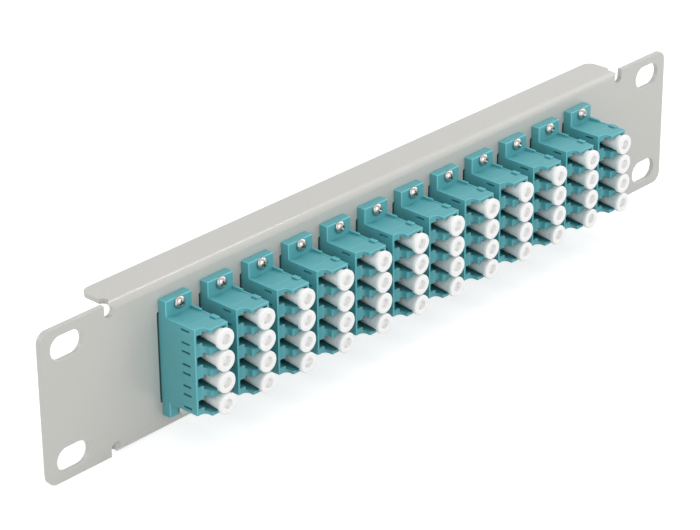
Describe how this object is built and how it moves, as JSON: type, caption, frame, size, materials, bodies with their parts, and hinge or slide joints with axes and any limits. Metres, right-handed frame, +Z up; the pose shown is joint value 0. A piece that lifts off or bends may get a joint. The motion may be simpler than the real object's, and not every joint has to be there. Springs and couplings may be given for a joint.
{
  "type": "fibre patch panel",
  "caption": "Folded steel rack panel with slotted ears, holding a row of upright flanged fibre adapters with round dust caps and small screws.",
  "frame": {"origin": "centre of the panel's front face, which is the centre of the four rack slots at that face", "axes": "+X along the panel, +Y back into the rack, +Z up; the adapters stand forward to -Y"},
  "size_m": [0.254, 0.0341, 0.0436],
  "materials": {
    "powder_coat": "fine textured powder coat",
    "adapter_plastic": "satin moulded",
    "cap_plastic": "soft moulded",
    "sleeve_ceramic": "polished",
    "nickel": "bright",
    "zinc": "plated"
  },
  "bodies": {
    "root": {"panel": "powder_coat", "adapter_01_front_shell": "adapter_plastic", "adapter_01_rear_shell": "adapter_plastic", "adapter_02_front_shell": "adapter_plastic", "adapter_02_rear_shell": "adapter_plastic", "adapter_03_front_shell": "adapter_plastic", "adapter_03_rear_shell": "adapter_plastic", "adapter_04_front_shell": "adapter_plastic", "adapter_04_rear_shell": "adapter_plastic", "adapter_05_front_shell": "adapter_plastic", "adapter_05_rear_shell": "adapter_plastic", "adapter_06_front_shell": "adapter_plastic", "adapter_06_rear_shell": "adapter_plastic", "adapter_07_front_shell": "adapter_plastic", "adapter_07_rear_shell": "adapter_plastic", "adapter_08_front_shell": "adapter_plastic", "adapter_08_rear_shell": "adapter_plastic", "adapter_09_front_shell": "adapter_plastic", "adapter_09_rear_shell": "adapter_plastic", "adapter_10_front_shell": "adapter_plastic", "adapter_10_rear_shell": "adapter_plastic", "adapter_11_front_shell": "adapter_plastic", "adapter_11_rear_shell": "adapter_plastic", "adapter_12_front_shell": "adapter_plastic", "adapter_12_rear_shell": "adapter_plastic", "adapter_01_front_dust_caps": "cap_plastic", "adapter_01_rear_dust_caps": "cap_plastic", "adapter_02_front_dust_caps": "cap_plastic", "adapter_02_rear_dust_caps": "cap_plastic", "adapter_03_front_dust_caps": "cap_plastic", "adapter_03_rear_dust_caps": "cap_plastic", "adapter_04_front_dust_caps": "cap_plastic", "adapter_04_rear_dust_caps": "cap_plastic", "adapter_05_front_dust_caps": "cap_plastic", "adapter_05_rear_dust_caps": "cap_plastic", "adapter_06_front_dust_caps": "cap_plastic", "adapter_06_rear_dust_caps": "cap_plastic", "adapter_07_front_dust_caps": "cap_plastic", "adapter_07_rear_dust_caps": "cap_plastic", "adapter_08_front_dust_caps": "cap_plastic", "adapter_08_rear_dust_caps": "cap_plastic", "adapter_09_front_dust_caps": "cap_plastic", "adapter_09_rear_dust_caps": "cap_plastic", "adapter_10_front_dust_caps": "cap_plastic", "adapter_10_rear_dust_caps": "cap_plastic", "adapter_11_front_dust_caps": "cap_plastic", "adapter_11_rear_dust_caps": "cap_plastic", "adapter_12_front_dust_caps": "cap_plastic", "adapter_12_rear_dust_caps": "cap_plastic", "alignment_sleeves": "sleeve_ceramic", "flange_screws": "nickel", "flange_nuts": "zinc"}
  },
  "joints": []
}
